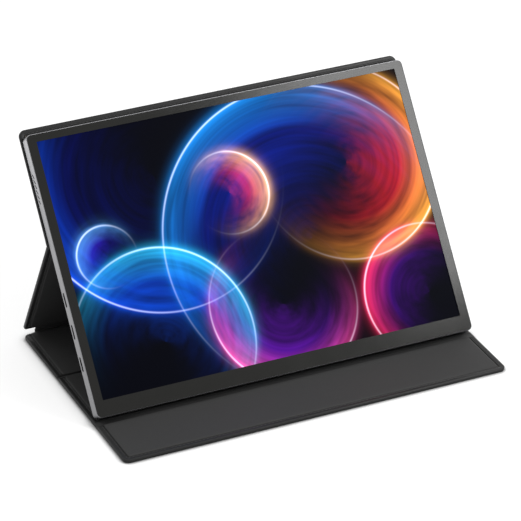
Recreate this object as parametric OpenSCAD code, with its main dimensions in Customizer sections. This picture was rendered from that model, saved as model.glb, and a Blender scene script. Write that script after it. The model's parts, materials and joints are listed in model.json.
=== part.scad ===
// Slim portable monitor standing in its folding leather cover.
// The monitor leans on the strut panel of the cover, and its foot stands on the base panel.
// Millimetres, X along the screen, Y away from the viewer, Z up, table at z = 0.
// The origin is the middle of the footprint, on the table.

/* [Screen] */
// Width of the lit area, a 16 inch class panel in 3:2
screen_w = 338.1; // [320:0.1:350]
// Height of the lit area
screen_h = 225.4; // [210:0.1:235]
// Border beside the lit area, at the left and at the right
side_border = 8.4; // [7.5:0.1:12]
// Border above the lit area
top_border = 7.1; // [6.5:0.1:12]
// Deeper border below the lit area
chin = 14.2; // [13:0.1:20]

/* [Housing] */
// Thickness of the monitor
monitor_t = 12; // [12:0.1:14]
// Side wall of the metal tray
wall = 1.3; // [1:0.1:1.6]
// Floor of the metal tray
floor_t = 1.2; // [1:0.1:1.5]
// Radius of the four corners
corner_r = 4.5; // [3.5:0.1:6]
// Radius of the rear edge
rear_edge_r = 1.5; // [1:0.1:2]
// Thin lip of the housing that shows around the bezel
lip_t = 0.6; // [0.5:0.1:0.8]
// Chamfer of the lip
front_chamfer = 0.4; // [0.2:0.1:0.4]
// Thickness of the support ribs inside
rib_t = 1.4; // [1:0.1:2]

/* [Display stack] */
// Thickness of the plastic bezel
bezel_t = 0.9; // [0.8:0.1:1.1]
// How far the bezel lies below the rim of the housing
bezel_recess = 0.1; // [0:0.05:0.2]
// Adhesive tape under the bezel and behind the panel
tape_t = 0.2; // [0.1:0.05:0.3]
// Liquid crystal panel
lcd_t = 1; // [0.8:0.1:1.2]
// Diffuser and prism films together
films_t = 0.4; // [0.3:0.1:0.5]
// Acrylic light guide
guide_t = 1.2; // [1:0.1:1.3]
// Reflector film
reflector_t = 0.2; // [0.1:0.05:0.3]
// Sheet steel of the display tray
tray_t = 0.4; // [0.3:0.1:0.5]

/* [Ports and keys] */
// Depth of the port and key centres behind the front face
port_depth = 6.6; // [6.4:0.1:6.8]
// Height of the mini video socket above the bottom edge
video_z = 104; // [100:0.5:110]
// Height of the upper data socket
data_upper_z = 76; // [72:0.5:80]
// Height of the lower data socket
data_lower_z = 48; // [42:0.5:52]
// Length of the openings in front of the sockets, wide enough for the boots of their plugs
opening_len = 12.8; // [12.2:0.1:14]
// Height of the power button on the right side
power_z = 112; // [108:0.5:118]
// Height of the menu rocker on the right side
rocker_z = 84; // [78:0.5:90]
// Travel of the power button
key_travel = 0.5; // [0.3:0.05:0.6]
// Number of slanted slots in each speaker grille
grille_slots = 6; // [4:1:8]
// Distance of the grille's centre below the top edge
grille_drop = 46; // [44:0.5:60]

/* [Stand] */
// Lean of the screen back from upright, in degrees
lean = 36.87; // [30:0.01:42]
// Height of the cover's back fold, measured up the back of the monitor
fold_up = 152; // [146:0.5:158]
// Length of the strut from its upper fold to its lower fold
strut_len = 140.4; // [138:0.1:146]
// Clearance under the foot of the monitor and behind its back
rest_gap = 0.3; // [0.2:0.05:0.5]

/* [Cover] */
// Thickness of each padded panel
panel_t = 3.2; // [3:0.1:4]
// Outer leather
skin_t = 0.9; // [0.7:0.1:1.1]
// Inner lining
lining_t = 0.8; // [0.6:0.1:1]
// How far the cover stands out beside the monitor
side_overhang = 1.3; // [0.8:0.1:3]
// How far the cover stands out above the monitor
top_overhang = 7; // [4:0.5:10]
// Width of the stitched leather border at the sides and at the free ends
border = 5; // [4:0.5:8]
// Leather folded round the edge of each board, and all the border there is beside a fold
turn_in = 2; // [1.5:0.1:3]
// Groove between the stitched border and the lining
seam_gap = 0.5; // [0.3:0.1:0.8]
// Radius of the cover's free corners
cover_corner_r = 6; // [3:0.5:7]
// Radius of the panel corners above and below the notch
notch_corner_r = 2.5; // [1:0.5:5]
// Rounding of the panel edges
cover_edge = 0.9; // [0.5:0.1:1.2]
// How far the pressed crease lies behind the middle of the base
crease_shift = 0.4; // [-3:0.1:3]
// Distance from the foot's edge to the flap's fold
flap_setback = 6.3; // [6:0.1:9]
// Length of the front flap, from its fold to its front edge
flap_len = 63.5; // [50:0.5:80]
// How far the lower fold is drawn in at each side, which leaves the notch
notch = 12.5; // [6:0.5:20]

/* [Hidden] */
$fn = 32;

// Monitor outline and the depths of its layers, counted back from the front face
monitor_w = screen_w + 2 * side_border;
monitor_h = screen_h + top_border + chin;
inner_w = monitor_w - 2 * wall;
inner_h = monitor_h - 2 * wall;
mid_z = monitor_h / 2;
screen_z = chin + screen_h / 2;
floor_d = monitor_t - floor_t;
ledge_d = bezel_recess + bezel_t;
lcd_d = ledge_d + tape_t;
films_d = lcd_d + lcd_t;
guide_d = films_d + films_t;
reflector_d = guide_d + guide_t;
tray_floor_d = reflector_d + reflector_t;
tray_back_d = tray_floor_d + tray_t;
rib_front_d = tray_back_d + tape_t;

// Display stack margins around the lit area
slip = 0.15;
guide_margin = 1;
tray_rim = 2;
tray_half_w = screen_w / 2 + guide_margin + slip + tray_rim;
tray_top = chin + screen_h + guide_margin + slip + tray_rim;
led_h = 3;
tray_bottom = chin - guide_margin - led_h - slip - tray_rim;
ledge_w = 1.2;
ledge_t = 0.8;
rib_xs = [-60, 0, 60];
rib_margin = 6;

// Main board, behind the sockets
socket_h = 3.2;
socket_len = 7.4;
socket_back = 0.5;
socket_end_x = socket_back + socket_len - monitor_w / 2;
board_d = port_depth + socket_h / 2;
board_t = 1;
board_x0 = -monitor_w / 2 + wall + 1;
board_w = 64;
board_margin = 15;
screw_inset = 5;
screw_r = 0.95;
screw_head_r = 1.9;
screw_head_t = 0.8;
boss_r = 2.6;
controller_w = 6;
scaler_w = 16;
memory_w = 10;
coil_w = 8;
chip_gap = 4;
timing_w = 300;
timing_h = 12;
timing_drop = 5;
timing_z0 = chin - timing_drop;
timing_t = 0.8;
driver_w = 10;
driver_h = 5;
driver_t = 1;
driver_pitch = 30;
rib_z0 = timing_z0 + timing_h + 3;
rib_z1 = tray_top - rib_margin;
ribbon_t = 0.3;
ribbon_w = 22;
ribbon_lap = 5;

// Sockets, speakers and keys
data_w = 9;
video_w = 11.2;
board_z0 = data_lower_z - data_w / 2 - board_margin;
board_h = video_z + video_w / 2 + board_margin - board_z0;
socket_wall = 0.35;
cut_slip = 0.15;
slot_w = 1.3;
slot_len = 5.4;
slot_pitch = 4.5;
slot_slant = -38;
speaker_l = 36;
speaker_w = 11;
speaker_wall = 3;
key_w = 3.2;
power_len = 10;
rocker_len = 20;
key_proud = 0.6;
key_flange = 0.8;
key_lip = 0.8;
key_gap = 0.25;
key_slip = 0.05;
key_board_t = 1;
key_board_margin = 6;
switch_t = 0.8;
switch_w = 3;
wall_in_x = monitor_w / 2 - wall;
key_back_x = wall_in_x - key_slip - key_flange;
switch_top_x = key_back_x - key_travel - 0.15;
key_board_x = switch_top_x - switch_t - key_board_t;
rocker_angle = 2.5;
rocker_pin_r = 0.8;
rocker_pin_x = wall_in_x - 1.2;
rocker_flange_x = wall_in_x - rocker_len / 2 * sin(rocker_angle) - key_slip;
cheek_t = 1;
cheek_d = port_depth + key_w / 2 + 0.2;
keeper_t = 0.6;
keeper_w = 70;
keeper_h = 14;
keeper_x = 112;
keeper_rise = 28;
keeper_drop = 22;
keeper_zs = [fold_up + keeper_rise, monitor_h - keeper_drop];

// Stand geometry, in the side view
face_up = [sin(lean), cos(lean)];
face_back = [cos(lean), -sin(lean)];
foot_in = monitor_t - rear_edge_r;
lift = panel_t + rest_gap + rear_edge_r - face_up[1] * rear_edge_r - face_back[1] * foot_in;
foot_y = face_back[0] * foot_in + face_up[0] * rear_edge_r;
axis_z = panel_t / 2;
fold_depth = monitor_t + rest_gap + panel_t / 2;
fold_y = face_up[0] * fold_up + face_back[0] * fold_depth;
fold_z = lift + face_up[1] * fold_up + face_back[1] * fold_depth;
spine_y = fold_y + sqrt(strut_len * strut_len - (fold_z - axis_z) * (fold_z - axis_z));
strut_angle = atan2(fold_z - axis_z, fold_y - spine_y);
flap_fold_y = foot_y - flap_setback;
crease_y = (spine_y + flap_fold_y) / 2 + crease_shift;
front_y = flap_fold_y - flap_len;
back_y = spine_y + panel_t / 2;
middle_y = (front_y + back_y) / 2;

// Cover panels
cover_w = monitor_w + 2 * side_overhang;
back_len = monitor_h + top_overhang - fold_up;
fold_r = panel_t / 2;
fold_slip = 0.25;
web_t = 1.2;
fold_side = 0.6;
fold_end = 3;
strut_end = 9;
base_end = 4.8;
crease_w = 3;
fold_corner_r = 1;
board_slip = 0.15;
board_top = panel_t - lining_t;
magnet_slip = 0.1;
magnet_w = 40;
magnet_h = 10;
back_magnet_xs = [-134, -90, 90, 134];
foot_magnet_xs = [-110, 0, 110];
flap_magnet_xs = [-140, 140];

echo(width = cover_w, depth = back_y - front_y, height = lift + face_up[1] * monitor_h);
echo(spine_axis = [0, spine_y - middle_y, axis_z], strut_angle = strut_angle);
echo(back_axis = [0, fold_y - middle_y, fold_z], flap_axis = [0, flap_fold_y - middle_y, axis_z]);
echo(monitor_origin = [0, -middle_y, lift], foot = foot_y - middle_y, crease = crease_y - middle_y);

// Places: the whole stand, the leaning monitor, and the two raised cover panels
module stand() {
    translate([0, -middle_y, 0])
        children();
}

module on_monitor() {
    stand()
        translate([0, 0, lift])
            rotate([-lean, 0, 0])
                children();
}

module on_strut() {
    stand()
        translate([0, spine_y, axis_z])
            rotate([strut_angle, 0, 0])
                children();
}

module on_back() {
    stand()
        translate([0, fold_y, fold_z])
            rotate([90 - lean, 0, 0])
                children();
}

// Flat outline that starts at y = 0, with one radius at each end
module outline(w, l, near_r, far_r) {
    translate([-w / 2, near_r])
        square([w, l - near_r - far_r]);
    translate([near_r - w / 2, 0])
        square([w - 2 * near_r, l / 2]);
    translate([far_r - w / 2, l / 2])
        square([w - 2 * far_r, l / 2]);
    for (side = [-1, 1]) {
        translate([side * (w / 2 - near_r), near_r])
            circle(near_r);
        translate([side * (w / 2 - far_r), l - far_r])
            circle(far_r);
    }
}

// Layer of the monitor between two depths, centred on a place on its face
module layer(size, depths, r = 0.5, at = [0, 0]) {
    translate([at[0], depths[1], at[1] - size[1] / 2])
        rotate([90, 0, 0])
            linear_extrude(depths[1] - depths[0])
                outline(size[0], size[1], r, r);
}

// Frame between two nested layers
module layer_frame(outer, inner, depths, r, outer_at, inner_at) {
    difference() {
        layer(outer, depths, r, outer_at);
        layer(inner, [depths[0] - 1, depths[1] + 1], 0.5, inner_at);
    }
}

// Slot with round ends, cut along X through a side wall
module side_slot(len, w, at, slant = 0, through = 6) {
    translate([at[0], at[1], at[2]])
        rotate([slant, 0, 0])
            for (end = [-1, 1]) {
                translate([0, 0, end * (len - w) / 2])
                    rotate([0, 90, 0])
                        cylinder(h = through, d = w, center = true);
                cube([through, w, len - w], center = true);
            }
}

// Monitor housing
module housing_block() {
    ring = corner_r - rear_edge_r;
    hull() {
        layer([monitor_w - 2 * front_chamfer, monitor_h - 2 * front_chamfer],
            [0, monitor_t / 2], corner_r - front_chamfer, [0, mid_z]);
        layer([monitor_w, monitor_h], [front_chamfer, monitor_t - rear_edge_r],
            corner_r, [0, mid_z]);
        for (x = [-1, 1], z = [-1, 1])
            translate([x * (monitor_w / 2 - corner_r), monitor_t - rear_edge_r,
                mid_z + z * (monitor_h / 2 - corner_r)])
                rotate([90, 0, 0])
                    rotate_extrude($fn = 24)
                        translate([ring, 0])
                            intersection() {
                                circle(rear_edge_r, $fn = 20);
                                translate([0, -rear_edge_r])
                                    square(2 * rear_edge_r);
                            }
    }
}

module grille_cut(side) {
    for (i = [0 : grille_slots - 1])
        side_slot(slot_len, slot_w, [side * monitor_w / 2, port_depth,
            monitor_h - grille_drop + (i - (grille_slots - 1) / 2) * slot_pitch], slot_slant);
}

module board_corners() {
    for (x = [screw_inset, board_w - screw_inset], z = [screw_inset, board_h - screw_inset])
        translate([board_x0 + x, 0, board_z0 + z])
            rotate([-90, 0, 0])
                children();
}

module ribs() {
    for (x = rib_xs)
        translate([x - rib_t / 2, rib_front_d, rib_z0])
            cube([rib_t, floor_d - rib_front_d, rib_z1 - rib_z0]);
}

module rear_housing() {
    left = -monitor_w / 2;
    color("silver")
        on_monitor()
            difference() {
                union() {
                    difference() {
                        housing_block();
                        layer([monitor_w - 2 * lip_t, monitor_h - 2 * lip_t], [-1, ledge_d],
                            corner_r - lip_t, [0, mid_z]);
                        layer([inner_w, inner_h], [0, floor_d], corner_r - wall, [0, mid_z]);
                    }
                    layer_frame([inner_w + wall, inner_h + wall],
                        [inner_w - 2 * ledge_w, inner_h - 2 * ledge_w],
                        [ledge_d, ledge_d + ledge_t], corner_r - wall / 2, [0, mid_z], [0, mid_z]);
                    ribs();
                    board_corners()
                        translate([0, 0, board_d + board_t])
                            cylinder(h = monitor_t - floor_t / 2 - board_d - board_t, r = boss_r);
                }
                board_corners()
                    translate([0, 0, board_d])
                        cylinder(h = monitor_t - floor_t / 2 - board_d, r = screw_r + 0.05);
                grille_cut(-1);
                grille_cut(1);
                for (z = [video_z, data_upper_z, data_lower_z])
                    side_slot(opening_len, socket_h + 2 * cut_slip, [left, port_depth, z]);
                side_slot(power_len + 2 * key_gap, key_w + 2 * key_gap,
                    [monitor_w / 2, port_depth, power_z]);
                side_slot(rocker_len + 2 * key_gap, key_w + 2 * key_gap,
                    [monitor_w / 2, port_depth, rocker_z]);
            }
}

module front_bezel() {
    color("#2d2d2b")
        on_monitor()
            layer_frame([monitor_w - 2 * lip_t - 2 * slip, monitor_h - 2 * lip_t - 2 * slip],
                [screen_w, screen_h], [bezel_recess, ledge_d], corner_r - lip_t - slip,
                [0, mid_z], [0, screen_z]);
}

// Display stack, from the bezel back to the steel tray
module bezel_tape() {
    color("black")
        on_monitor()
            layer_frame([screen_w + 4, screen_h + 4], [screen_w + 1, screen_h + 1],
                [ledge_d, lcd_d], 0.5, [0, screen_z], [0, screen_z]);
}

module lcd_panel() {
    color("#0a1a4a")
        on_monitor()
            layer([2 * tray_half_w, tray_top - tray_bottom], [lcd_d, films_d], 0.5,
                [0, (tray_top + tray_bottom) / 2]);
}

module guide_layer(depths) {
    layer([screen_w + 2 * guide_margin, screen_h + 2 * guide_margin], depths, 0.5, [0, screen_z]);
}

module optical_films() {
    color("whitesmoke")
        on_monitor()
            guide_layer([films_d, guide_d]);
}

module light_guide() {
    color("lightcyan")
        on_monitor()
            guide_layer([guide_d, reflector_d]);
}

module reflector_film() {
    color("white")
        on_monitor()
            guide_layer([reflector_d, tray_floor_d]);
}

module led_strip() {
    led_pitch = 12;
    led_count = floor((screen_w - 20) / led_pitch);
    top = chin - guide_margin;
    color("gold")
        on_monitor() {
            layer([screen_w - 4, led_h - 1], [guide_d + 0.2, tray_floor_d], 0.5,
                [0, top - led_h + (led_h - 1) / 2]);
            for (i = [0 : led_count - 1])
                translate([(i - (led_count - 1) / 2) * led_pitch - 2, guide_d + 0.2, top - 1.2])
                    cube([4, guide_t - 0.4, 1.2]);
        }
}

module display_tray() {
    color("lightsteelblue")
        on_monitor()
            difference() {
                layer([2 * tray_half_w, tray_top - tray_bottom], [films_d, tray_back_d], 0.5,
                    [0, (tray_top + tray_bottom) / 2]);
                layer([2 * (tray_half_w - tray_rim), tray_top - tray_bottom - 2 * tray_rim],
                    [films_d - 1, tray_floor_d], 0.5, [0, (tray_top + tray_bottom) / 2]);
            }
}

module tray_tape() {
    color("dimgray")
        on_monitor()
            for (x = rib_xs)
                translate([x - rib_t / 2, tray_back_d, rib_z0])
                    cube([rib_t, tape_t, rib_z1 - rib_z0]);
}

// Electronics behind the tray. A chip's place is its middle on the board.
module chip(x, z, w, h, t) {
    translate([x - w / 2, board_d - t, z - h / 2])
        cube([w, t + 0.2, h]);
}

// Main board, with a controller behind each socket, and the scaler between its memory and its coil
module main_board() {
    controller_x = socket_end_x + chip_gap + controller_w / 2;
    scaler_x = controller_x + controller_w / 2 + chip_gap + scaler_w / 2;
    scaler_z = board_z0 + board_h / 2;
    color("darkgreen")
        on_monitor()
            difference() {
                union() {
                    translate([board_x0, board_d, board_z0])
                        cube([board_w, board_t, board_h]);
                    for (z = [video_z, data_upper_z, data_lower_z])
                        chip(controller_x, z, controller_w, controller_w, 1);
                    chip(scaler_x, scaler_z, scaler_w, scaler_w, 1.4);
                    chip(scaler_x, scaler_z + (scaler_w + memory_w) / 2 + chip_gap,
                        memory_w, memory_w, 1);
                    chip(scaler_x, scaler_z - (scaler_w + coil_w) / 2 - chip_gap,
                        coil_w, coil_w, 1.8);
                }
                board_corners()
                    translate([0, 0, board_d - 1])
                        cylinder(h = board_t + 2, r = screw_r + 0.05);
            }
}

module board_screws() {
    color("gray")
        on_monitor()
            board_corners() {
                translate([0, 0, board_d - screw_head_t])
                    cylinder(h = screw_head_t, r = screw_head_r);
                translate([0, 0, board_d - screw_head_t / 2])
                    cylinder(h = board_t + 2, r = screw_r);
            }
}

module timing_board() {
    color("darkgreen")
        on_monitor() {
            translate([-timing_w / 2, tray_back_d, timing_z0])
                cube([timing_w, timing_t, timing_h]);
            for (i = [-3, -2, -1, 1, 2, 3])
                translate([i * driver_pitch - driver_w / 2, tray_back_d + timing_t - 0.1,
                    timing_z0 + (timing_h - driver_h) / 2])
                    cube([driver_w, driver_t, driver_h]);
        }
}

// Flat ribbon from the front of the main board down to the timing board
module display_cable() {
    high = board_z0 + ribbon_lap;
    low = timing_z0 + timing_h;
    near = tray_back_d + timing_t;
    t = ribbon_t;
    color("goldenrod")
        on_monitor()
            translate([board_x0 + board_w - screw_inset - boss_r - ribbon_w - 4, 0, 0])
                rotate([90, 0, 90])
                    linear_extrude(ribbon_w)
                        polygon([[board_d, high], [board_d - t, high], [board_d - t, board_z0],
                            [near, low], [near, low - ribbon_lap],
                            [near + t, low - ribbon_lap], [near + t, low - t / 2],
                            [board_d, board_z0 - t / 2]]);
}

// Socket shell with its tongue, mouth at the left side wall
module socket(w, z) {
    color("gainsboro")
        on_monitor()
            translate([-monitor_w / 2 + socket_back + socket_len / 2, port_depth, z]) {
                difference() {
                    side_slot(w, socket_h, [0, 0, 0], 0, socket_len);
                    translate([-1, 0, 0])
                        side_slot(w - 2 * socket_wall, socket_h - 2 * socket_wall,
                            [0, 0, 0], 0, socket_len);
                }
                translate([-socket_len / 2 + 1.5, -0.35, -w / 2 + 1.4])
                    cube([socket_len - 2, 0.7, w - 2.8]);
                translate([-1.5, socket_h / 2 - 0.4, -w / 2 + 2])
                    cube([4, 0.4, w - 4]);
            }
}

module video_socket() socket(video_w, video_z);

module data_socket_upper() socket(data_w, data_upper_z);

module data_socket_lower() socket(data_w, data_lower_z);

module speaker(side) {
    inside = side * (monitor_w / 2 - wall - 0.4);
    depth = floor_d - rib_front_d;
    color("#222222")
        on_monitor()
            translate([inside - side * speaker_w / 2, rib_front_d + depth / 2,
                monitor_h - grille_drop])
                difference() {
                    cube([speaker_w, depth, speaker_l], center = true);
                    side_slot(speaker_l - 2 * speaker_wall, depth - 1.6, [side * speaker_w / 2, 0, 0],
                        0, 1.6);
                }
}

module speaker_left() speaker(-1);

module speaker_right() speaker(1);

// Cap with round ends that stands through the right side wall
module key_cap(len, back_x, z) {
    front_x = monitor_w / 2 + key_proud;
    side_slot(len, key_w, [(front_x + back_x) / 2, port_depth, z], 0, front_x - back_x);
}

// Power button, held behind the wall by its flange
module power_button() {
    color("#9a9a9a")
        on_monitor() {
            key_cap(power_len, key_back_x, power_z);
            translate([key_back_x, port_depth - key_w / 2 - key_lip,
                power_z - power_len / 2 - key_lip])
                cube([key_flange, key_w + 2 * key_lip, power_len + 2 * key_lip]);
        }
}

// Menu rocker, a longer cap that tips on its own pin
module rocker_pin(r, length) {
    translate([rocker_pin_x, port_depth, rocker_z])
        rotate([90, 0, 0])
            cylinder(h = length, r = r, center = true);
}

module menu_rocker() {
    color("#9a9a9a")
        on_monitor() {
            key_cap(rocker_len, rocker_flange_x - key_flange, rocker_z);
            rocker_pin(rocker_pin_r, 2 * (cheek_d + cheek_t - port_depth));
        }
}

// Key board, upright behind the keys: a switch under the button and under each end of the
// rocker, and two cheeks that carry the rocker's pin
module key_board() {
    low = rocker_z - rocker_len / 2 - key_board_margin;
    high = power_z + power_len / 2 + key_board_margin;
    rocker_reach = rocker_len / 2 - switch_w / 2;
    rocker_switch_x = rocker_flange_x - key_flange - rocker_reach * sin(rocker_angle) - 0.2;
    color("darkgreen")
        on_monitor() {
            translate([key_board_x, rib_front_d, low])
                cube([key_board_t, floor_d - rib_front_d, high - low]);
            translate([key_board_x, port_depth - switch_w / 2, power_z - switch_w / 2])
                cube([switch_top_x - key_board_x, switch_w, switch_w]);
            for (end = [-1, 1])
                translate([key_board_x, port_depth - switch_w / 2,
                    rocker_z + end * rocker_reach - switch_w / 2])
                    cube([rocker_switch_x - key_board_x, switch_w, switch_w]);
            difference() {
                for (side = [-1, 1])
                    translate([key_board_x, port_depth + side * (cheek_d - port_depth + cheek_t / 2)
                        - cheek_t / 2, rocker_z - 1.8])
                        cube([rocker_pin_x + 0.9 - key_board_x, cheek_t, 3.6]);
                rocker_pin(rocker_pin_r + key_slip, 3 * cheek_d);
            }
        }
}

// Steel plates on the floor of the housing, which the cover's magnets hold on to
module keeper_plates() {
    color("slategray")
        on_monitor()
            for (side = [-1, 1], z = keeper_zs)
                layer([keeper_w, keeper_h], [floor_d - keeper_t, floor_d], 1,
                    [side * keeper_x, z]);
}

// Cover panel: leather outside with a turned and stitched border, board within, lining on top.
// Each panel runs from y = 0 and from its outer face at z = 0.
module panel_block(l, near_r, far_r) {
    hull() {
        translate([0, 0, cover_edge])
            linear_extrude(panel_t - 2 * cover_edge)
                outline(cover_w, l, near_r, far_r);
        translate([0, cover_edge / 3, cover_edge / 3])
            linear_extrude(panel_t - 2 * cover_edge / 3)
                outline(cover_w - 2 * cover_edge / 3, l - 2 * cover_edge / 3, near_r, far_r);
        translate([0, cover_edge, 0])
            linear_extrude(panel_t)
                outline(cover_w - 2 * cover_edge, l - 2 * cover_edge, near_r, far_r);
    }
}

// Slab inside a panel, with insets at the sides, at the near end and at the far end
module inset_slab(l, insets, z0, z1, r = 0.5) {
    translate([0, insets[1], z0])
        linear_extrude(z1 - z0)
            outline(cover_w - 2 * insets[0], l - insets[1] - insets[2], r, r);
}

module panel_leather(l, near_r, far_r, near_border, far_border) {
    difference() {
        panel_block(l, near_r, far_r);
        inset_slab(l, [turn_in, turn_in, turn_in], skin_t, board_top);
        inset_slab(l, [border, near_border, far_border], board_top - 0.5, panel_t + 1, 2);
    }
}

module panel_board(l) {
    inset = turn_in + board_slip;
    inset_slab(l, [inset, inset, inset], skin_t, board_top);
}

module panel_lining(l, near_border, far_border, proud = 0) {
    inset_slab(l, [border + seam_gap, near_border + seam_gap, far_border + seam_gap],
        board_top, panel_t + proud, 1.5);
}

module panel_magnets(xs, y, grow = 0) {
    for (x = xs)
        translate([x - magnet_w / 2 - grow, y - magnet_h / 2 - grow, skin_t - grow])
            cube([magnet_w + 2 * grow, magnet_h + 2 * grow, board_top - skin_t + 2 * grow]);
}

// Thin leather web between a panel's end and its fold, along the middle of the thickness
module web(from, to, inset) {
    translate([inset - cover_w / 2, from, panel_t / 2 - web_t / 2])
        cube([cover_w - 2 * inset, to - from, web_t]);
}

// Rolled leather bead that a fold turns about, its axis at y = 0
module fold_roll(inset) {
    translate([0, 0, panel_t / 2])
        rotate([0, 90, 0])
            cylinder(h = cover_w - 2 * inset, r = fold_r, center = true);
}

// Upper back panel, held to the monitor by magnets
back_panel_l = back_len - fold_end;

module at_back_panel() {
    on_back()
        translate([0, fold_end, -panel_t / 2])
            children();
}

module back_magnet_sites(grow) {
    for (z = keeper_zs)
        panel_magnets(back_magnet_xs, z - fold_up - fold_end, grow);
}

module back_leather() {
    color("#2f2f30")
        at_back_panel() {
            panel_leather(back_panel_l, fold_corner_r, cover_corner_r, turn_in, border);
            web(fold_r + fold_slip - fold_end, cover_edge, fold_side);
        }
}

module back_board() {
    color("tan")
        at_back_panel()
            difference() {
                panel_board(back_panel_l);
                back_magnet_sites(magnet_slip);
            }
}

module back_lining() {
    color("#1d1d1e")
        at_back_panel()
            panel_lining(back_panel_l, turn_in, border, rest_gap);
}

module back_magnets() {
    color("lightgray")
        at_back_panel()
            back_magnet_sites(0);
}

// Strut panel, from the lower fold up to the back fold
strut_panel_l = strut_len - strut_end - fold_end;

module at_strut_panel() {
    on_strut()
        translate([0, strut_end, -panel_t / 2])
            children();
}

module strut_leather() {
    color("#2f2f30")
        at_strut_panel() {
            panel_leather(strut_panel_l, notch_corner_r, fold_corner_r, turn_in, turn_in);
            web(fold_r + fold_slip - strut_end, cover_edge, notch);
        }
}

module strut_board() {
    color("tan")
        at_strut_panel()
            panel_board(strut_panel_l);
}

module strut_lining() {
    color("#1d1d1e")
        at_strut_panel()
            panel_lining(strut_panel_l, turn_in, turn_in);
}

module back_fold() {
    color("#262627")
        on_strut()
            translate([0, strut_len, -panel_t / 2]) {
                fold_roll(fold_side);
                web(-fold_end, 0, fold_side);
            }
}

// Base panel on the table, in two boards with a pressed crease between them
base_rear_l = spine_y - crease_y - base_end - crease_w / 2;
base_front_l = crease_y - flap_fold_y - fold_end - crease_w / 2;

module at_base_rear() {
    stand()
        translate([0, crease_y + crease_w / 2, 0])
            children();
}

module at_base_front() {
    stand()
        translate([0, flap_fold_y + fold_end, 0])
            children();
}

module base_leather() {
    color("#2f2f30") {
        at_base_rear()
            panel_leather(base_rear_l, fold_corner_r, notch_corner_r, turn_in, turn_in);
        at_base_front() {
            panel_leather(base_front_l, fold_corner_r, fold_corner_r, turn_in, turn_in);
            web(base_front_l - cover_edge, base_front_l + crease_w + cover_edge, fold_side);
        }
    }
}

module base_rear_board() {
    color("tan")
        at_base_rear()
            panel_board(base_rear_l);
}

module base_front_board() {
    color("tan")
        at_base_front()
            difference() {
                panel_board(base_front_l);
                panel_magnets(foot_magnet_xs, magnet_h, magnet_slip);
            }
}

module base_rear_lining() {
    color("#1d1d1e")
        at_base_rear()
            panel_lining(base_rear_l, turn_in, turn_in);
}

module base_front_lining() {
    color("#1d1d1e")
        at_base_front()
            panel_lining(base_front_l, turn_in, turn_in);
}

module foot_magnets() {
    color("lightgray")
        at_base_front()
            panel_magnets(foot_magnet_xs, magnet_h);
}

module spine_fold() {
    color("#262627")
        stand()
            translate([0, spine_y, 0]) {
                fold_roll(notch);
                web(-base_end, 0, notch);
            }
}

module flap_fold() {
    color("#262627")
        stand()
            translate([0, flap_fold_y, 0]) {
                fold_roll(fold_side);
                web(0, fold_end, fold_side);
            }
}

// Front flap
flap_panel_l = flap_len - fold_end;

module at_flap() {
    stand()
        translate([0, front_y, 0])
            children();
}

module flap_leather() {
    color("#2f2f30")
        at_flap() {
            panel_leather(flap_panel_l, cover_corner_r, fold_corner_r, border, turn_in);
            web(flap_panel_l - cover_edge, flap_len - fold_r - fold_slip, fold_side);
        }
}

module flap_board() {
    color("tan")
        at_flap()
            difference() {
                panel_board(flap_panel_l);
                panel_magnets(flap_magnet_xs, magnet_h, magnet_slip);
            }
}

module flap_lining() {
    color("#1d1d1e")
        at_flap()
            panel_lining(flap_panel_l, border, turn_in);
}

module flap_magnets() {
    color("lightgray")
        at_flap()
            panel_magnets(flap_magnet_xs, magnet_h);
}

rear_housing();
front_bezel();
bezel_tape();
lcd_panel();
optical_films();
light_guide();
reflector_film();
led_strip();
display_tray();
tray_tape();
main_board();
timing_board();
display_cable();
board_screws();
video_socket();
data_socket_upper();
data_socket_lower();
speaker_left();
speaker_right();
power_button();
menu_rocker();
key_board();
keeper_plates();
back_leather();
back_board();
back_lining();
back_magnets();
strut_leather();
strut_board();
strut_lining();
back_fold();
base_leather();
base_rear_board();
base_front_board();
base_rear_lining();
base_front_lining();
foot_magnets();
spine_fold();
flap_fold();
flap_leather();
flap_board();
flap_lining();
flap_magnets();
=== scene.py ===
# Slim portable monitor standing in its folding leather cover.
# Metres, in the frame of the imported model: X along the screen, Y away from the viewer, Z up.
import json
import math

import bmesh
import bpy
from mathutils import Matrix, Vector


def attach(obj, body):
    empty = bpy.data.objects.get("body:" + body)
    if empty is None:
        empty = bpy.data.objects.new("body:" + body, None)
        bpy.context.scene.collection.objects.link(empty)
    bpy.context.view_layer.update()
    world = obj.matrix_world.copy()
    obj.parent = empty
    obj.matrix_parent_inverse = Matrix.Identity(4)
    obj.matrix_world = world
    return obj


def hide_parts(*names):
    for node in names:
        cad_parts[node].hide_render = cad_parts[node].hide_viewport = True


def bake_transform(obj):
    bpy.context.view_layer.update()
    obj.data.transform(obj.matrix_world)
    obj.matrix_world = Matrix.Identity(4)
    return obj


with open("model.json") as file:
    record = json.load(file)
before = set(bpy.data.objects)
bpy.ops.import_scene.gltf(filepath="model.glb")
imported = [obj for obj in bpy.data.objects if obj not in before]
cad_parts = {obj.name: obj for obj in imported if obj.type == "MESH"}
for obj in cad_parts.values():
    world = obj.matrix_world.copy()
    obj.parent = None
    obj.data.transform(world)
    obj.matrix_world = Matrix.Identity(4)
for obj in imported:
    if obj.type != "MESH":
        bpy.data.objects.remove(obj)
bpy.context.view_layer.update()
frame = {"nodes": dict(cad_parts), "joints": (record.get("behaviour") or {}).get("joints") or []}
nodes = frame["nodes"]
joints = {joint["name"]: joint for joint in frame["joints"]}
scene = bpy.context.scene
scene.view_settings.view_transform = "Standard"
mm = 0.001

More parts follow.
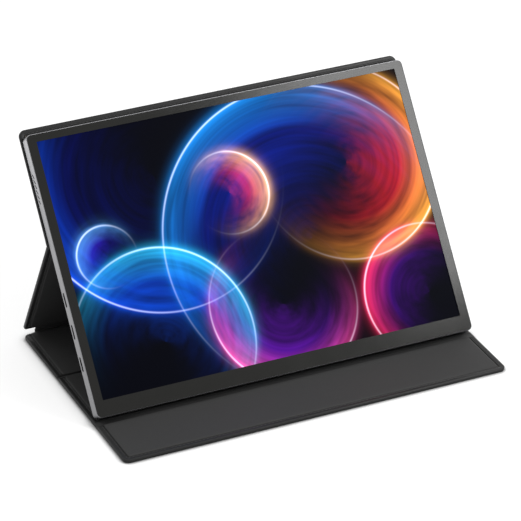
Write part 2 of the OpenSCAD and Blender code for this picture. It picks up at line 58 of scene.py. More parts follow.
# Camera. It stands where the photograph was taken from, left of the monitor and above it, behind a
# long lens. Place and direction were fitted to the corners of the monitor and of the cover.
camera_place = Vector((-1.06364, -2.28765, 1.48841))
camera_direction = Vector((0.36849, 0.79348, -0.48435))
camera = bpy.data.objects.new("camera", bpy.data.cameras.new("camera"))
camera.data.lens = 232.4
camera.data.sensor_width = 36
camera.location = camera_place
camera.rotation_euler = camera_direction.to_track_quat("-Z", "Y").to_euler()
scene.collection.objects.link(camera)
scene.camera = camera


# White studio. A pale table and a white surround, which the camera and every reflection see as
# white, while a weaker light from all sides lights the object, with a key softbox close by on the
# right, a large one above, and a small one low on the left, flagged off from all but the housing.
def colour(code):
    """Linear colour of an sRGB hex code."""
    channels = [int(code[i:i + 2], 16) / 255 for i in (1, 3, 5)]
    return [c / 12.92 if c <= 0.04045 else ((c + 0.055) / 1.055) ** 2.4 for c in channels] + [1]


def add(tree, kind, sockets=(), **settings):
    """Adds a node. Sockets maps an input's name or number to a value, an output or a node."""
    made = tree.nodes.new(kind)
    for name, value in settings.items():
        setattr(made, name, value)
    for name, value in dict(sockets).items():
        if isinstance(value, bpy.types.Node):
            value = value.outputs[0]
        if isinstance(value, bpy.types.NodeSocket):
            tree.links.new(value, made.inputs[name])
        else:
            made.inputs[name].default_value = value
    return made


def maths(tree, operation, *values):
    """The result of a Math node."""
    return add(tree, "ShaderNodeMath", dict(enumerate(values)), operation=operation).outputs[0]


def remap(tree, value, source, target=(0, 1)):
    """Maps a value from one range to another, and holds it at the ends."""
    return add(tree, "ShaderNodeMapRange", {0: value, "From Min": source[0], "From Max": source[1],
                                            "To Min": target[0], "To Max": target[1]})


def seen_directly(tree):
    """1 for what the camera, a reflection or a view through glass sees, and otherwise 0."""
    path = add(tree, "ShaderNodeLightPath")
    seen = maths(tree, "MAXIMUM", path.outputs["Is Camera Ray"], path.outputs["Is Glossy Ray"])
    return maths(tree, "MAXIMUM", seen, path.outputs["Is Transmission Ray"])


ambient = 0.58
world = bpy.data.worlds.new("studio")
scene.world = world
world.use_nodes = True
surround = world.node_tree.nodes["Background"]
surround_light = remap(world.node_tree, seen_directly(world.node_tree), (0, 1), (ambient, 1))
world.node_tree.links.new(surround_light.outputs[0], surround.inputs["Strength"])
surround.inputs["Color"].default_value = colour("#ffffff")

table_material = bpy.data.materials.new("white_table")
table_material.use_nodes = True
tree = table_material.node_tree
tree.nodes.clear()
# The table glows less where the object comes close, which draws the contact shadow.
table_glow = 0.7
contact_reach = 12 * mm
contact_range = (0.6, 0.96)
matt = add(tree, "ShaderNodeBsdfDiffuse", {"Color": colour("#b8b8b8")})
contact = add(tree, "ShaderNodeAmbientOcclusion", {"Distance": contact_reach}, samples=8)
fill = remap(tree, contact.outputs["AO"], contact_range, (0, table_glow))
glow = maths(tree, "MULTIPLY", seen_directly(tree), fill)
lit = add(tree, "ShaderNodeEmission", {"Color": colour("#ffffff"), "Strength": glow})
add(tree, "ShaderNodeOutputMaterial", {0: add(tree, "ShaderNodeAddShader", {0: matt, 1: lit})})
table_half = 6
table_drop = 0.2 * mm
bm = bmesh.new()
bmesh.ops.create_grid(bm, x_segments=1, y_segments=1, size=table_half)
bmesh.ops.translate(bm, vec=(0, 0, -table_drop), verts=bm.verts)
mesh = bpy.data.meshes.new("table")
bm.to_mesh(mesh)
bm.free()
mesh.materials.append(table_material)
table = bpy.data.objects.new("table", mesh)
scene.collection.objects.link(table)


def softbox(name, place, target, width, height, power):
    """A rectangular lamp that faces a target and that the camera doesn't see."""
    lamp = bpy.data.lights.new(name, "AREA")
    lamp.shape = "RECTANGLE"
    lamp.size = width
    lamp.size_y = height
    lamp.energy = power
    holder = bpy.data.objects.new(name, lamp)
    holder.location = place
    holder.rotation_euler = (Vector(target) - Vector(place)).to_track_quat("-Z", "Y").to_euler()
    holder.visible_camera = False
    scene.collection.objects.link(holder)
    return holder


softbox("key", (0.61, -0.52, 0.745), target=(0.1, 0, 0.11), width=0.38, height=0.345, power=6.0)
softbox("top", (-0.3, 0.3, 2.2), target=(0, 0, 0), width=1.6, height=1.6, power=8)
side_light = softbox("side", (-0.5, 0.35, 0.12), target=(-0.177, 0.05, 0.12), width=0.2,
                     height=0.2, power=1.0)
side_lit = bpy.data.collections.new("lit_by_side")
side_lit.objects.link(nodes["rear_housing"])
side_light.light_linking.receiver_collection = side_lit


# Housing. A tray pressed from aluminium sheet, blasted with fine beads and anodised, which leaves
# a satin skin with a barely visible grain. The keys on its right side have the same finish.
def surface(name, **values):
    """A new material, its tree and its Principled shader, with plain values on the sockets."""
    material = bpy.data.materials.new(name)
    material.use_nodes = True
    shader = material.node_tree.nodes["Principled BSDF"]
    for socket, value in values.items():
        shader.inputs[socket.replace("_", " ")].default_value = value
    return material, material.node_tree, shader


noise_range = (0.3, 0.7)


def grain(tree, shader, size, depth, roughness):
    """Random relief of a real size, with patches fifty times as wide that vary the roughness."""
    place = add(tree, "ShaderNodeTexCoord")
    specks = add(tree, "ShaderNodeTexNoise", {"Vector": place.outputs["Object"],
                                              "Scale": 1 / size, "Detail": 2})
    patches = add(tree, "ShaderNodeTexNoise", {"Vector": place.outputs["Object"],
                                               "Scale": 0.02 / size, "Detail": 3})
    relief = add(tree, "ShaderNodeBump", {"Height": specks, "Distance": depth, "Strength": 1})
    spread = remap(tree, patches, noise_range, roughness)
    tree.links.new(relief.outputs[0], shader.inputs["Normal"])
    tree.links.new(spread.outputs[0], shader.inputs["Roughness"])
    return specks


def blend_colour(tree, factor, first, second, mode="MIX"):
    """The result of a Mix node between two colours."""
    return add(tree, "ShaderNodeMix", {0: factor, 6: first, 7: second}, data_type="RGBA",
               blend_type=mode).outputs[2]


def dot(tree, vector, direction):
    """How far a vector reaches in a direction."""
    return add(tree, "ShaderNodeVectorMath", {0: vector, 1: direction},
               operation="DOT_PRODUCT").outputs["Value"]


def dress(node, material):
    """Gives a carried-over CAD node its finish."""
    nodes[node].data.materials.clear()
    nodes[node].data.materials.append(material)


def turned_box(node, tilt):
    """Lowest and highest corner of a CAD node, in axes that are tilted about X."""
    upright = Matrix.Rotation(-tilt, 3, "X")
    points = [upright @ v.co for v in nodes[node].data.vertices]
    return [Vector([pick(p[i] for p in points) for i in range(3)]) for pick in (min, max)]


lean = math.atan2(-joints["menu_rock"]["axis"][2], joints["menu_rock"]["axis"][1])
tray_low, tray_high = turned_box("rear_housing", -lean)
# The grain of the beads is about 0.1 mm and is drawn coarser, so that it shows.
bead_grain = 0.5 * mm
aluminium, tree, shader = surface("bead_blasted_aluminium", Metallic=1.0)
grain(tree, shader, bead_grain, 0.01 * mm, (0.4, 0.46))
# Painted shade: the metal's colour is darkened inside the narrow slots and cut-outs, and wherever
# other surfaces come close.
recess_reach = 2.5 * mm
recess = add(tree, "ShaderNodeAmbientOcclusion", {"Distance": recess_reach}, samples=8)
open_face = remap(tree, recess.outputs["AO"], (0.7, 0.97))
painted_shade_tint = blend_colour(tree, open_face, colour("#080808"), colour("#868688"))
# Painted shade: the rim's front face is painted dark grey, towards the bezel's black, in place of
# the dark surround it would mirror; only along the top is it left as plain metal.
front_face_depth = 0.05 * mm
unshaded_top = 1.2 * mm
place = add(tree, "ShaderNodeTexCoord")
ahead = dot(tree, place.outputs["Object"], (0, -math.cos(lean), math.sin(lean)))
upwards = dot(tree, place.outputs["Object"], (0, math.sin(lean), math.cos(lean)))
in_front = maths(tree, "GREATER_THAN", ahead, -tray_low.y - front_face_depth)
below_top = maths(tree, "LESS_THAN", upwards, tray_high.z - unshaded_top)
painted_dark_front = maths(tree, "MULTIPLY", in_front, below_top)
painted_shade_tint = blend_colour(tree, painted_dark_front, painted_shade_tint, colour("#404042"))
tree.links.new(painted_shade_tint, shader.inputs["Base Color"])
for part in ("rear_housing", "power_button", "menu_rocker"):
    dress(part, aluminium)

# Front bezel. A thin frame moulded in black ABS with a fine spark-eroded texture, dropped into the
# housing and held by tape. The texture breaks reflections into a wide, soft sheen.
bezel_abs, tree, shader = surface("textured_black_abs", Base_Color=colour("#1c1c1a"), IOR=1.5)
shader.inputs["Specular IOR Level"].default_value = 0.2
grain(tree, shader, 0.4 * mm, 0.003 * mm, (0.15, 0.19))
dress("front_bezel", bezel_abs)

# Screen. The liquid crystal panel is glass, and its front polariser is a film with an anti-glare
# coat. The film lies on the glass, inside the tape, and carries the picture.
panel_glass, tree, shader = surface("black_panel_glass", Base_Color=colour("#060608"), IOR=1.5)
grain(tree, shader, 3 * mm, 0.002 * mm, (0.08, 0.14))
dress("lcd_panel", panel_glass)


def piece(name, bm, material, body, slot, *stands_for):
    """Makes a smooth piece of a bmesh, on a body, in place of CAD nodes."""
    for face in bm.faces:
        face.smooth = True
    mesh = bpy.data.meshes.new(name)
    bm.to_mesh(mesh)
    bm.free()
    mesh.materials.append(material)
    made = bpy.data.objects.new(name, mesh)
    scene.collection.objects.link(made)
    if body:
        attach(made, body)
    if stands_for:
        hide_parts(*stands_for)
    return made


def decay(tree, value):
    """Falls from 1 towards 0 as a value grows from 0."""
    return maths(tree, "POWER", math.e, maths(tree, "MULTIPLY", value, -1.0))


film_inset = 0.7 * mm
film_t = 0.12 * mm
glass_low = turned_box("lcd_panel", -lean)[0]
guide_low, guide_high = turned_box("light_guide", -lean)
film_low = Vector((guide_low.x + film_inset, glass_low.y - film_t, guide_low.z + film_inset))
film_high = Vector((guide_high.x - film_inset, glass_low.y, guide_high.z - film_inset))

picture, tree, shader = surface("lit_polariser_film", Base_Color=colour("#030305"),
                                Roughness=0.45, Emission_Strength=1.0)
shader.inputs["Specular IOR Level"].default_value = 0.02
screen_aspect = (film_high.x - film_low.x) / (film_high.z - film_low.z)
place = add(tree, "ShaderNodeTexCoord")
spot = add(tree, "ShaderNodeVectorMath", {0: place.outputs["UV"], 1: (screen_aspect, 1, 0)},
           operation="MULTIPLY")

# The picture is a generic one of glass discs in the dark, each with a crescent of light at one side
# of its rim. Places, radii and depths are shares of the screen's height, counted from its lower
# left corner, and facing is the direction of the crescent in degrees. Spread narrows the crescent.
discs = [
    dict(place=(0.42, 0.78), radius=0.52, facing=205, depth=0.17, spread=2.6, level=1.00,
         outer="#0a50e8", inner="#08188c"),
    dict(place=(0.98, 0.42), radius=0.60, facing=118, depth=0.17, spread=3.4, level=1.25,
         outer="#1a98ff", inner="#1030d0"),
    dict(place=(0.30, 0.16), radius=0.36, facing=60, depth=0.13, spread=2.6, level=1.30,
         outer="#30c8ff", inner="#0850e0"),
    dict(place=(1.20, 0.68), radius=0.38, facing=345, depth=0.16, spread=2.2, level=1.60,
         outer="#ffb040", inner="#f02830"),
    dict(place=(0.80, 0.20), radius=0.30, facing=250, depth=0.12, spread=2.2, level=1.35,
         outer="#ff50a8", inner="#7818d0"),
    dict(place=(1.40, 0.12), radius=0.27, facing=150, depth=0.11, spread=2.4, level=1.20,
         outer="#ff3068", inner="#5808a0"),
    dict(place=(0.70, 0.66), radius=0.16, facing=20, depth=0.08, spread=2.0, level=1.40,
         outer="#ffc080", inner="#ff3a3a"),
    dict(place=(0.16, 0.52), radius=0.12, facing=140, depth=0.06, spread=2.0, level=1.00,
         outer="#60b0ff", inner="#3a20d0"),
]
rim_glow = 0.010
rim_line = 0.0032
# Silky streaks run along each rim: how fast they change along it and across it, and how strongly.
silk_along = 1.6
silk_across = 30.0
silk_range = (0.45, 1.35)
light = colour("#01020a")
for number, disc in enumerate(discs):
    away = add(tree, "ShaderNodeVectorMath", {0: spot, 1: (*disc["place"], 0)},
               operation="SUBTRACT")
    length = add(tree, "ShaderNodeVectorMath", {0: away}, operation="LENGTH").outputs["Value"]
    inward = maths(tree, "SUBTRACT", disc["radius"], length)
    facing = math.radians(disc["facing"])
    ray = add(tree, "ShaderNodeVectorMath", {0: away}, operation="NORMALIZE")
    turn = dot(tree, ray, (math.cos(facing), math.sin(facing), 0))
    crescent = maths(tree, "POWER", maths(tree, "MULTIPLY_ADD", turn, 0.5, 0.5), disc["spread"])
    fade = maths(tree, "DIVIDE", maths(tree, "MAXIMUM", inward, 0.0), disc["depth"])
    outward = maths(tree, "MULTIPLY", inward, -1.0)
    haze = maths(tree, "DIVIDE", maths(tree, "MAXIMUM", outward, 0.0), rim_glow)
    veil = maths(tree, "MULTIPLY", decay(tree, maths(tree, "ADD", fade, haze)), crescent)
    strands = add(tree, "ShaderNodeCombineXYZ", {0: maths(tree, "MULTIPLY", turn, silk_along),
                                                 1: maths(tree, "MULTIPLY", inward, silk_across),
                                                 2: float(number)})
    silk = add(tree, "ShaderNodeTexNoise", {"Vector": strands, "Scale": 1.0, "Detail": 2.0})
    sheen = remap(tree, silk, noise_range, silk_range)
    tint = blend_colour(tree, maths(tree, "MINIMUM", fade, 1.0), colour(disc["outer"]),
                        colour(disc["inner"]))
    strength = maths(tree, "MULTIPLY", maths(tree, "MULTIPLY", veil, sheen), disc["level"])
    body_light = blend_colour(tree, 1.0, tint, strength, "MULTIPLY")
    across = maths(tree, "DIVIDE", inward, rim_line)
    line = decay(tree, maths(tree, "MULTIPLY", across, across))
    line = maths(tree, "MULTIPLY", line, crescent)
    rim_light = blend_colour(tree, 1.0, colour("#dfe6ff"), line, "MULTIPLY")
    light = blend_colour(tree, 1.0, light, body_light, "ADD")
    light = blend_colour(tree, 1.0, light, rim_light, "ADD")
tree.links.new(light, shader.inputs["Emission Color"])

bm = bmesh.new()
bm.loops.layers.uv.new("UVMap")
bmesh.ops.create_grid(bm, x_segments=1, y_segments=1, size=0.5, calc_uvs=True)
bmesh.ops.rotate(bm, verts=bm.verts, matrix=Matrix.Rotation(math.pi / 2, 3, "X"))
bmesh.ops.scale(bm, verts=bm.verts, vec=(film_high.x - film_low.x, 1, film_high.z - film_low.z))
bmesh.ops.translate(bm, verts=bm.verts, vec=((film_low.x + film_high.x) / 2, film_low.y,
                                             (film_low.z + film_high.z) / 2))
back = bmesh.ops.extrude_face_region(bm, geom=list(bm.faces), use_keep_orig=True)["geom"]
bmesh.ops.translate(bm, verts=[v for v in back if isinstance(v, bmesh.types.BMVert)],
                    vec=(0, film_t, 0))
bmesh.ops.recalc_face_normals(bm, faces=bm.faces)
bmesh.ops.rotate(bm, verts=bm.verts, matrix=Matrix.Rotation(-lean, 3, "X"))
screen_film = piece("screen_film", bm, picture, "monitor", "screen_glass")
for face in screen_film.data.polygons:
    face.use_smooth = False


# Display stack and electronics, closed in behind the screen: tape, films, light guide, LEDs, steel
# tray and plates, boards with green solder resist, an amber ribbon and plated screws.
def shades(code, dark, light):
    """Two shades of a colour, from the factors of its darker and its lighter one."""
    return [[min(c * share, 1) for c in colour(code)[:3]] + [1] for share in (dark, light)]


# Each finish: its colour, how metallic and how rough it is, its grain in mm, and its parts.
inner_finishes = {
    "black_foam_tape": ("#161616", 0.0, 0.8, 0.6, ("bezel_tape", "tray_tape")),
    "clear_prism_film": ("#dfe3e4", 0.0, 0.25, 0.3, ("optical_films",)),
    "polished_acrylic": ("#dcebea", 0.0, 0.1, 1.0, ("light_guide",)),
    "white_reflector_film": ("#f2f2ee", 0.0, 0.5, 0.8, ("reflector_film",)),
    "amber_led_resin": ("#d9b23c", 0.0, 0.35, 0.5, ("led_strip",)),
    "zinc_coated_steel": ("#a9adb0", 1.0, 0.4, 0.7, ("display_tray", "keeper_plates")),
    "nickel_plated_screw": ("#b5b2a8", 1.0, 0.3, 0.4, ("board_screws",)),
    "nickel_plated_magnet": ("#b9b9b6", 1.0, 0.25, 0.5,
                             ("back_magnets", "foot_magnets", "flap_magnets")),
    "green_solder_resist": ("#1f5a34", 0.0, 0.35, 0.5, ("main_board", "timing_board", "key_board")),
    "amber_polyimide": ("#a8691c", 0.0, 0.3, 0.5, ("display_cable",)),
    "grey_fibreboard": ("#6f675c", 0.0, 0.85, 0.5,
                        ("back_board", "strut_board", "base_rear_board", "base_front_board",
                         "flap_board")),
}
# The grain shows as specks a little darker and lighter than the finish.
less, more = 0.85, 1.15
for name, (code, metal, rough, size, parts) in inner_finishes.items():
    material, tree, shader = surface(name, Metallic=metal)
    specks = grain(tree, shader, size * mm, 0.01 * mm, (rough * less, min(rough * more, 1)))
    tint = blend_colour(tree, specks, *shades(code, less, more))
    tree.links.new(tint, shader.inputs["Base Color"])
    for part in parts:
        dress(part, material)

# Sockets and speakers. The socket shells are drawn steel with a dark nickel plate, and the speaker
# boxes behind the slanted slots are moulded in black ABS.
socket_steel, tree, shader = surface("dark_nickel_plate", Metallic=1.0,
                                     Base_Color=colour("#5c5c5a"))
grain(tree, shader, 0.3 * mm, 0.004 * mm, (0.3, 0.42))
for part in ("video_socket", "data_socket_upper", "data_socket_lower"):
    dress(part, socket_steel)
speaker_abs, tree, shader = surface("moulded_black_abs", Base_Color=colour("#101010"))
shader.inputs["Specular IOR Level"].default_value = 0.2
grain(tree, shader, 0.5 * mm, 0.01 * mm, (0.5, 0.6))
for part in ("speaker_left", "speaker_right"):
    dress(part, speaker_abs)

# Cover leather. Polyurethane leather on a woven back, embossed with a fine pebble and wrapped
# round a board. Its edge is turned in and stitched down to a border that stands out round the pad.
swell_length = 55 * mm
swell_depth = 0.5 * mm
crease_shade = 0.82
crown_shade = 1.12
seam_reach = 2.5 * mm


def leather(name, code, sheen, gloss, pebble, depth, roughness, seam_shade):
    """Embossed leather: pebbles of a real size between fine creases, lighter on their crowns. In
    seams and under edges painted shade darkens it, down to seam_shade of its colour."""
    material, tree, shader = surface(name, Sheen_Weight=sheen, Sheen_Roughness=0.45,
                                     Sheen_Tint=colour("#8a8a8a"), IOR=1.48)
    shader.inputs["Specular IOR Level"].default_value = gloss
    place = add(tree, "ShaderNodeTexCoord")
    # The cells are bent out of line, and the board under them isn't quite flat.
    wander = add(tree, "ShaderNodeTexNoise", {"Vector": place.outputs["Object"],
                                              "Scale": 0.4 / pebble, "Detail": 2})
    bent = add(tree, "ShaderNodeMix", {0: 0.3 * pebble, 4: place.outputs["Object"],
                                       5: wander.outputs["Color"]}, data_type="VECTOR")
    cells = add(tree, "ShaderNodeTexVoronoi", {"Vector": bent.outputs[1], "Scale": 1 / pebble},
                feature="SMOOTH_F1")
    swell = add(tree, "ShaderNodeTexNoise", {"Vector": place.outputs["Object"],
                                             "Scale": 1 / swell_length, "Detail": 2})
    pebbles = add(tree, "ShaderNodeBump", {"Height": cells, "Distance": -depth, "Strength": 1})
    waves = add(tree, "ShaderNodeBump", {"Height": swell, "Distance": swell_depth, "Strength": 1,
                                         "Normal": pebbles})
    dark_side, light_side = shades(code, crease_shade, crown_shade)
    creased = add(tree, "ShaderNodeMath", {0: cells.outputs[0], 1: 1.1}, operation="MULTIPLY",
                  use_clamp=True)
    tint = blend_colour(tree, creased, light_side, dark_side)
    # Painted shade: occlusion darkens the colour in seams and under edges.
    seam_occlusion = add(tree, "ShaderNodeAmbientOcclusion", {"Distance": seam_reach}, samples=6)
    painted_shade = remap(tree, seam_occlusion.outputs["AO"], (0.4, 0.9), (seam_shade, 1))
    tint = blend_colour(tree, 1.0, tint, painted_shade, "MULTIPLY")
    spread = remap(tree, swell, noise_range, roughness)
    tree.links.new(waves.outputs[0], shader.inputs["Normal"])
    tree.links.new(tint, shader.inputs["Base Color"])
    tree.links.new(spread.outputs[0], shader.inputs["Roughness"])
    return material


corner_steps = 6
least_r = 0.4 * mm


def panel(section, low, high, radii, squeeze, tilt):
    """A closed panel. Its outline, with round corners, is extruded through its section: how far it
    is drawn in, and how high. Each corner of the outline keeps its way round as it is extruded.
    Squeeze narrows what is drawn in at the near and at the far end."""
    bm = bmesh.new()
    way = bm.verts.layers.float_vector.new("way_round")
    segments = 4 * corner_steps
    bmesh.ops.create_circle(bm, segments=segments, radius=1, cap_ends=True)
    bmesh.ops.rotate(bm, verts=bm.verts, matrix=Matrix.Rotation(math.pi / segments, 3, "Z"))
    for v in bm.verts:
        v[way] = v.co
    centre, half = (low + high) / 2, (high - low) / 2
    outline, rim = list(bm.verts), list(bm.edges)
    for step, (inset, height) in enumerate(section):
        if step:
            made = bmesh.ops.extrude_edge_only(bm, edges=rim)["geom"]
            outline = [v for v in made if isinstance(v, bmesh.types.BMVert)]
            rim = [e for e in made if isinstance(e, bmesh.types.BMEdge)]
        for v in outline:
            far = v[way].y > 0
            radius = max(radii[far] - inset, least_r)
            reach = (half.x - inset - radius, half.y - inset * squeeze[far] - radius)
            v.co = (centre.x + math.copysign(reach[0], v[way].x) + v[way].x * radius,
                    centre.y + math.copysign(reach[1], v[way].y) + v[way].y * radius, height)
    bmesh.ops.contextual_create(bm, geom=rim)
    bmesh.ops.recalc_face_normals(bm, faces=bm.faces)
    bmesh.ops.rotate(bm, verts=bm.verts, matrix=Matrix.Rotation(tilt, 3, "X"))
    return bm


cover_leather = leather("embossed_cover_leather", "#2c2c2c", sheen=0.04, gloss=0.16,
                        pebble=0.9 * mm, depth=0.04 * mm, roughness=(0.34, 0.42), seam_shade=0.2)
strut_pivot = Vector(joints["stand_fold"]["pos_m"])
back_pivot = Vector(joints["back_fold"]["pos_m"])
flap_pivot = Vector(joints["flap_fold"]["pos_m"])
strut_tilt = math.atan2(back_pivot.z - strut_pivot.z, back_pivot.y - strut_pivot.y)
back_tilt = math.pi / 2 - lean
panel_t = 3.2 * mm
lining_t = 0.8 * mm
side_inset = 5.5 * mm
fold_inset = 2.5 * mm
free_r = 6 * mm
notch_r = 2.5 * mm
base_notch_r = 4.5 * mm
fold_r = 1 * mm
edge_r = 1.1 * mm
# Each panel: the body that it rides on, its tilt, its corner radii and the lining's insets at its
# near and its far end, how high its pad swells, and the CAD leather that it stands for.
panels = {
    "flap": dict(body="flap", tilt=0, radii=(free_r, fold_r), ends=(side_inset, fold_inset),
                 crown=3.7 * mm, leather="flap_leather"),
    "base_front": dict(body="base", tilt=0, radii=(fold_r, fold_r), ends=(fold_inset, fold_inset),
                       crown=3.42 * mm, leather="base_leather"),
    "base_rear": dict(body="base", tilt=0, radii=(fold_r, base_notch_r),
                      ends=(fold_inset, fold_inset), crown=3.42 * mm, leather="base_leather"),
    "strut": dict(body="strut", tilt=strut_tilt, radii=(notch_r, fold_r),
                  ends=(fold_inset, fold_inset), crown=3.42 * mm, leather="strut_leather"),
    "back": dict(body="monitor", tilt=back_tilt, radii=(fold_r, free_r),
                 ends=(fold_inset, side_inset), crown=3.48 * mm, leather="back_leather"),
}


def panel_place(name):
    """Corners of a panel in its own tilted axes, from its outer face up, as its lining sets it."""
    ends = panels[name]["ends"]
    low, high = turned_box(name + "_lining", panels[name]["tilt"])
    outer = low.z - (panel_t - lining_t)
    return low - Vector((side_inset, ends[0], 0)), high + Vector((side_inset, ends[1], 0)), outer


def quarter(start, end, steps):
    """Points of a quarter round from one inset and height to another, upright at its start."""
    turns = [i / steps * math.pi / 2 for i in range(steps + 1)]
    return [(start[0] + (end[0] - start[0]) * (1 - math.cos(turn)),
             start[1] + (end[1] - start[1]) * math.sin(turn)) for turn in turns]


stitch_inset = 3.9 * mm
groove_half = 0.7 * mm
groove = 0.35 * mm
floor_inset = 9 * mm
edge_steps = 5
inner_drop = 0.1 * mm
# The inner edge of the border rolls down into the seam: how far before it, and how far down.
border_roll = [(0.9 * mm, 0.05 * mm), (0.5 * mm, 0.35 * mm), (0.35 * mm, 1.3 * mm)]
for name, form in panels.items():
    low, high, outer = panel_place(name)
    section = [(floor_inset, 0), (stitch_inset + groove_half, 0), (stitch_inset, groove),
               (stitch_inset - groove_half, 0)]
    section += reversed(quarter((0, edge_r), (edge_r, 0), edge_steps))
    section += quarter((0, panel_t - edge_r), (edge_r, panel_t), edge_steps)
    section += [(stitch_inset - groove_half, panel_t), (stitch_inset, panel_t - groove),
                (stitch_inset + groove_half, panel_t - inner_drop)]
    section += [(side_inset - before, panel_t - drop) for before, drop in border_roll]
    section.append((floor_inset, section[-1][1]))
    section = [(inset, outer + height) for inset, height in section]
    squeeze = [end / side_inset for end in form["ends"]]
    bm = panel(section, low, high, form["radii"], squeeze, form["tilt"])
    piece(name + "_cover", bm, cover_leather, form["body"], "cover_leather", form["leather"])

# Pads. The inner side of each panel is a smooth lining over thin foam. It rises out of the seam
# beside the border in a soft shoulder, is flat in the middle and runs on to the folds.
pad_lining = leather("smooth_pad_lining", "#383838", sheen=0.08, gloss=0.2, pebble=0.55 * mm,
                     depth=0.02 * mm, roughness=(0.6, 0.7), seam_shade=0.2)
shoulder = 2.4 * mm
shoulder_steps = 8
pad_squeeze = 0.12
lining_r = 1.5 * mm
pad_start = side_inset - 0.3 * mm
pad_floor = panel_t - 1.2 * mm
pad_rise = panel_t - 1.1 * mm
pad_flat = pad_start + shoulder
# Two rings on the flat close behind the shoulder keep the shading even across it.
flat_rings = (2 * mm, 5 * mm)
for name, form in panels.items():
    low, high, outer = panel_place(name)
    section = [(2 * side_inset, pad_floor), (pad_start, pad_floor)]
    section += quarter((pad_start, pad_rise), (pad_flat, form["crown"]), shoulder_steps)
    section += [(pad_flat + ring, form["crown"]) for ring in flat_rings]
    section = [(inset, outer + height) for inset, height in section]
    squeeze = [1 if end == side_inset else pad_squeeze for end in form["ends"]]
    bm = panel(section, low, high, [side_inset + lining_r] * 2, squeeze, form["tilt"])
    pad = piece(name + "_pad", bm, pad_lining, form["body"], "cover_lining", name + "_lining")

# Stitches. Bonded polyester thread, 0.55 mm thick, in a row of lock stitches along the sides and
# the free ends of the cover, on both of its faces. Each stitch sinks a little into the leather and
# lies slightly askew.
thread = surface("bonded_polyester_thread", Base_Color=colour("#3a3a3a"), Roughness=0.6)[0]
stitch_len = 2.7 * mm
stitch_pitch = 3.5 * mm
thread_d = 0.55 * mm
thread_high = 0.8 * thread_d
sunk = 0.2 * mm
askew = math.radians(6)
bm = bmesh.new()
bmesh.ops.create_uvsphere(bm, u_segments=6, v_segments=4, radius=0.5)
bmesh.ops.rotate(bm, verts=bm.verts, matrix=Matrix.Rotation(math.pi / 2, 3, "Y"))
bmesh.ops.scale(bm, verts=bm.verts, vec=(stitch_len, thread_d, thread_high))
stitch = bpy.data.meshes.new("stitch")
bm.to_mesh(stitch)
bm.free()
for name, form in panels.items():
    low, high, outer = panel_place(name)
    margins = [stitch_inset * end / side_inset for end in form["ends"]]
    left, right = low.x + stitch_inset, high.x - stitch_inset
    near, far = low.y + margins[0], high.y - margins[1]
    runs = [((left, near), (left, far)), ((right, near), (right, far))]
    runs += [((left, y), (right, y)) for y, end in zip((near, far), form["ends"])
             if end == side_inset]
    bm = bmesh.new()
    for begin, end in runs:
        begin, end = Vector(begin), Vector(end)
        way = end - begin
        count = round((way.length - stitch_pitch) / stitch_pitch)
        course = math.atan2(way.y, way.x)
        for i in range(count):
            at = begin + way * ((i + 0.5) / count)
            for height in (outer + sunk, outer + panel_t - sunk):
                place = (Matrix.Translation((at.x, at.y, height))
                         @ Matrix.Rotation(course + askew, 4, "Z"))
                stitch.transform(place)
                bm.from_mesh(stitch)
                stitch.transform(place.inverted())
    bmesh.ops.rotate(bm, verts=bm.verts, matrix=Matrix.Rotation(form["tilt"], 3, "X"))
    piece(name + "_stitches", bm, thread, form["body"], "cover_leather")
bpy.data.meshes.remove(stitch)

# Folds. Between two panels the leather and the lining are pressed together to one thin strip,
# which bends about the fold and is tucked under both panels. At the lower fold the strip is drawn
# in and leaves a notch.
fold_leather = leather("pressed_fold_leather", "#303030", sheen=0.06, gloss=0.2, pebble=0.7 * mm,
                       depth=0.03 * mm, roughness=(0.55, 0.65), seam_shade=0.8)
strip_t = 2.4 * mm
notch = 12.5 * mm
fold_side = 0.1 * mm
tuck = 1.5 * mm


def strip(pivot, tilt, bend, near, far, half_width, reach, flares=(0, 0), thick=strip_t):
    """A flat strip from near to far of its pivot, then bent about it by an angle within reach. It
    may flare out in a round towards its near and its far end."""
    bm = bmesh.new()
    bm.loops.layers.uv.new("UVMap")
    bmesh.ops.create_grid(bm, x_segments=8, y_segments=24, size=0.5, calc_uvs=True)
    bmesh.ops.scale(bm, verts=bm.verts, vec=(2 * half_width, near + far, 1))
    bmesh.ops.translate(bm, verts=bm.verts, vec=(0, (far - near) / 2, -thick / 2))
    top = bmesh.ops.extrude_face_region(bm, geom=list(bm.faces), use_keep_orig=True)["geom"]
    bmesh.ops.translate(bm, verts=[v for v in top if isinstance(v, bmesh.types.BMVert)],
                        vec=(0, 0, thick))
    bmesh.ops.recalc_face_normals(bm, faces=bm.faces)
    for v in bm.verts:
        length = far - tuck if v.co.y > 0 else near - tuck
        along = min(abs(v.co.y) / length, 1)
        v.co.x *= 1 + flares[v.co.y > 0] * along ** 2 / half_width
        share = min(max((v.co.y + reach) / (2 * reach), 0), 1)
        turn = bend * share * share * (3 - 2 * share)
        v.co = Matrix.Rotation(turn, 3, "X") @ v.co
    bmesh.ops.rotate(bm, verts=bm.verts, matrix=Matrix.Rotation(tilt, 3, "X"))
    bmesh.ops.translate(bm, verts=bm.verts, vec=pivot)
    return bm


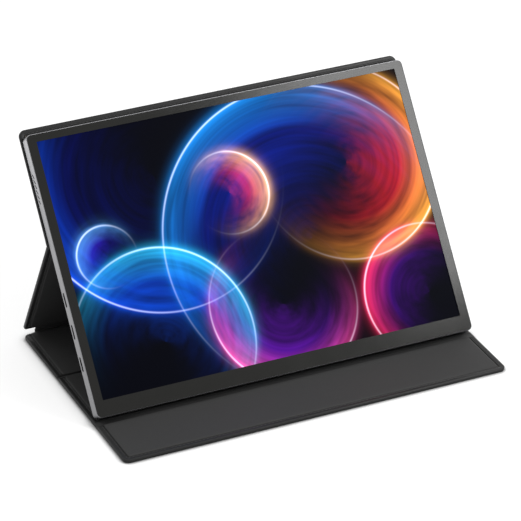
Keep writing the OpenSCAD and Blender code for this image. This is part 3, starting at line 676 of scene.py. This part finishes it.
def run_of(pivot, tilt):
    """How far along a tilted panel's own Y axis a pivot lies."""
    return (Matrix.Rotation(-tilt, 3, "X") @ pivot).y


front_low, front_high = panel_place("base_front")[:2]
rear_low, rear_high = panel_place("base_rear")[:2]
strut_low, strut_high = panel_place("strut")[:2]
half_cover = (front_high.x - front_low.x) / 2
# The lower fold, between base and strut. Its strip widens towards the base and a little towards
# the strut, which rounds the notch.
spine_reach = 4 * mm
spine_t = 1.6 * mm
notch_flares = (8 * mm, 1 * mm)
base_gap = strut_pivot.y - rear_high.y
strut_gap = strut_low.y - run_of(strut_pivot, strut_tilt)
bm = strip(strut_pivot, 0, strut_tilt, base_gap + tuck, strut_gap + tuck, half_cover - notch,
           spine_reach, notch_flares, thick=spine_t)
spine_strip = piece("spine_strip", bm, fold_leather, None, "fold_leather", "spine_fold")
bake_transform(spine_strip)

# The upper fold, between strut and back panel.
back_reach = 2.2 * mm
strut_end = run_of(back_pivot, strut_tilt) - strut_high.y
back_start = panel_place("back")[0].y - run_of(back_pivot, back_tilt)
bm = strip(back_pivot, strut_tilt, back_tilt - strut_tilt, strut_end + tuck, back_start + tuck,
           half_cover - fold_side, back_reach)
back_strip = piece("back_strip", bm, fold_leather, None, "fold_leather", "back_fold")
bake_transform(back_strip)

# The fold between base and flap.
flap_reach = 2.2 * mm
flap_gap = flap_pivot.y - panel_place("flap")[1].y
front_gap = front_low.y - flap_pivot.y
bm = strip(flap_pivot, 0, 0, flap_gap + tuck, front_gap + tuck, half_cover - fold_side, flap_reach)
flap_strip = piece("flap_strip", bm, fold_leather, None, "fold_leather", "flap_fold")
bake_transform(flap_strip)

# The pressed crease across the base, which lies flat under the monitor.
crease_t = 1.4 * mm
crease_z = 0.4 * panel_t
crease_middle = Vector((0, (front_high.y + rear_low.y) / 2, crease_z))
half_crease = (rear_low.y - front_high.y) / 2
bm = strip(crease_middle, 0, 0, half_crease + tuck, half_crease + tuck, half_cover - fold_side,
           flap_reach, thick=crease_t)
piece("crease_strip", bm, fold_leather, "base", "fold_leather")
